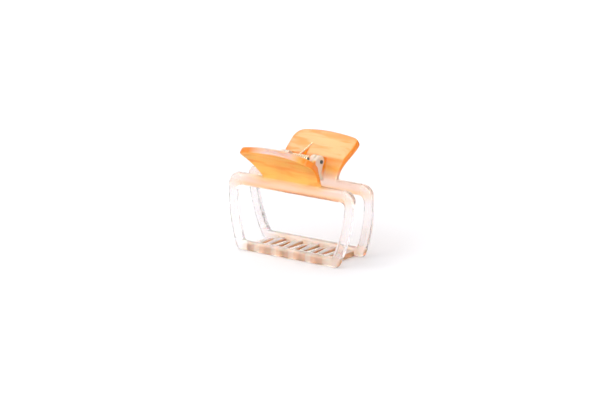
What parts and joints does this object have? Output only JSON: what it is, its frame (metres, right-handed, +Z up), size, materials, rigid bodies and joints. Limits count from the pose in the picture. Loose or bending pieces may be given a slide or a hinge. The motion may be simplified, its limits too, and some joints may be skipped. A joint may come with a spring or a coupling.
{
  "type": "hair claw clip",
  "caption": "Square hair claw clip: translucent toothed jaws with open frames, on a hinge pin closed by a coil spring and opened by flared finger plates.",
  "frame": {"origin": "middle of the clip at the level of its feet, centred on the overall length and depth", "axes": "+X along the hinge pin, +Y from the front jaw to the rear jaw, +Z up from the feet to the finger plates"},
  "size_m": [0.06, 0.0326, 0.0474],
  "materials": {
    "resin": "clear moulded resin, polished, orange at the finger plates fading to clear sides and peach feet",
    "steel": "drawn steel pin, plain",
    "spring_wire": "pale gold plated spring wire, bright"
  },
  "bodies": {
    "front_jaw": {"front_jaw": "resin", "hinge_pin": "steel", "spring": "spring_wire"},
    "rear_jaw": {"rear_jaw": "resin"}
  },
  "joints": [
    {"name": "jaw_hinge", "type": "hinge", "parent": "front_jaw", "child": "rear_jaw", "pos_m": [0, -0.00124, 0.039], "axis": [1, 0, 0], "range_deg": [0, 75], "stiffness_Nm_per_rad": 0.0117, "springref_deg": -126.05, "deforming": ["spring"]}
  ]
}
